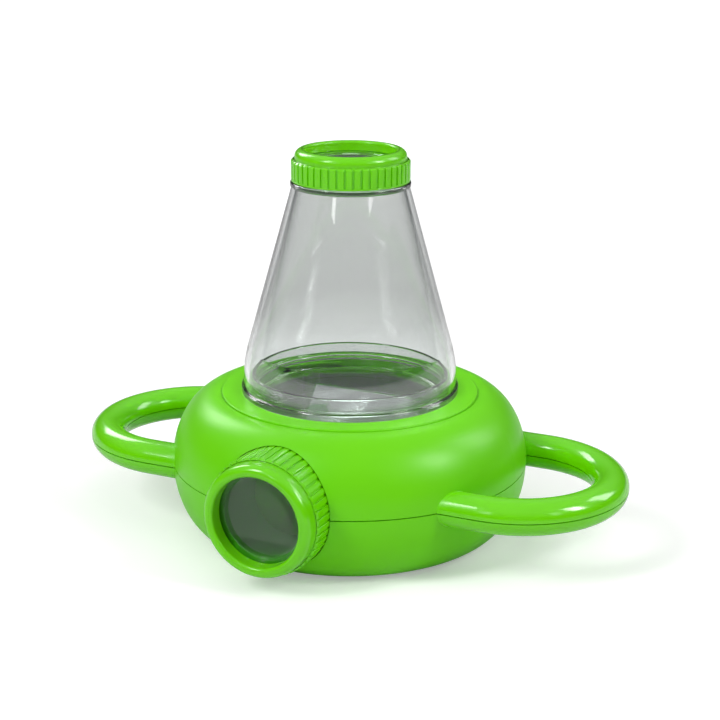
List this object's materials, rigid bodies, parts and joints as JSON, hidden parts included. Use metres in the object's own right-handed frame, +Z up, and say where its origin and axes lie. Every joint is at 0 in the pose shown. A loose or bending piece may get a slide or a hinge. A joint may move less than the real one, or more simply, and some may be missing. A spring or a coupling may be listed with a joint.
{
  "type": "bug viewer jar",
  "caption": "Clear cone-shaped specimen jar with a magnifier screw cap, on a round two-handled base whose mirror and side eyepiece show the jar's floor from below.",
  "frame": {"origin": "on the jar's axis, in the plane of the flat foot", "axes": "+Z up along the jar, X through both handles, -Y out of the eyepiece"},
  "size_m": [0.2442, 0.1631, 0.1635],
  "materials": {
    "green_plastic": "satin moulded lime green ABS",
    "clear_plastic": "clear moulded polystyrene",
    "lens_acrylic": "clear moulded acrylic lens",
    "mirror": "silvered plastic mirror",
    "foam_tape": "white foam tape",
    "screw_steel": "zinc plated"
  },
  "bodies": {
    "base": {"upper_shell": "green_plastic", "lower_shell": "green_plastic", "seat_ring": "green_plastic", "eyepiece_barrel": "green_plastic", "mirror_bracket": "green_plastic", "mirror": "mirror", "mirror_tape": "foam_tape", "body_screws": "screw_steel", "handle_screws": "screw_steel", "bracket_screws": "screw_steel"},
    "dish_carrier": {"specimen_dish": "clear_plastic"},
    "jar_body": {"jar": "clear_plastic"},
    "top_lens_carrier": {"top_lens": "lens_acrylic"},
    "top_cap_body": {"top_cap": "green_plastic", "top_lens_retainer": "green_plastic"},
    "eyepiece_lens_carrier": {"eyepiece_lens": "lens_acrylic"},
    "eyepiece_cap_body": {"eyepiece_cap": "green_plastic", "eyepiece_lens_retainer": "green_plastic"}
  },
  "joints": [
    {"name": "jar_lift", "type": "slide", "parent": "base", "child": "dish_carrier", "axis": [0, 0, 1], "range_m": [0, 0.00601]},
    {"name": "jar_turn", "type": "hinge", "parent": "dish_carrier", "child": "jar_body", "pos_m": [0, 0, 0.0609], "axis": [0, 0, 1], "range_deg": [0, 180]},
    {"name": "top_cap_lift", "type": "slide", "parent": "jar_body", "child": "top_lens_carrier", "axis": [0, 0, 1], "range_m": [0, 0.00601]},
    {"name": "top_cap_turn", "type": "hinge", "parent": "top_lens_carrier", "child": "top_cap_body", "pos_m": [0, 0, 0.1556], "axis": [0, 0, 1], "range_deg": [0, 240]},
    {"name": "eyepiece_draw", "type": "slide", "parent": "base", "child": "eyepiece_lens_carrier", "axis": [0, -1, 0], "range_m": [0, 0.00601]},
    {"name": "eyepiece_turn", "type": "hinge", "parent": "eyepiece_lens_carrier", "child": "eyepiece_cap_body", "pos_m": [0, -0.079, 0.0312], "axis": [0, -1, 0], "range_deg": [0, 240]}
  ],
  "couplings": [
    {"joint": "jar_lift", "follows": "jar_turn", "m_per_rad": 0.0019099},
    {"joint": "top_cap_lift", "follows": "top_cap_turn", "m_per_rad": 0.0014324},
    {"joint": "eyepiece_draw", "follows": "eyepiece_turn", "m_per_rad": 0.0014324}
  ]
}
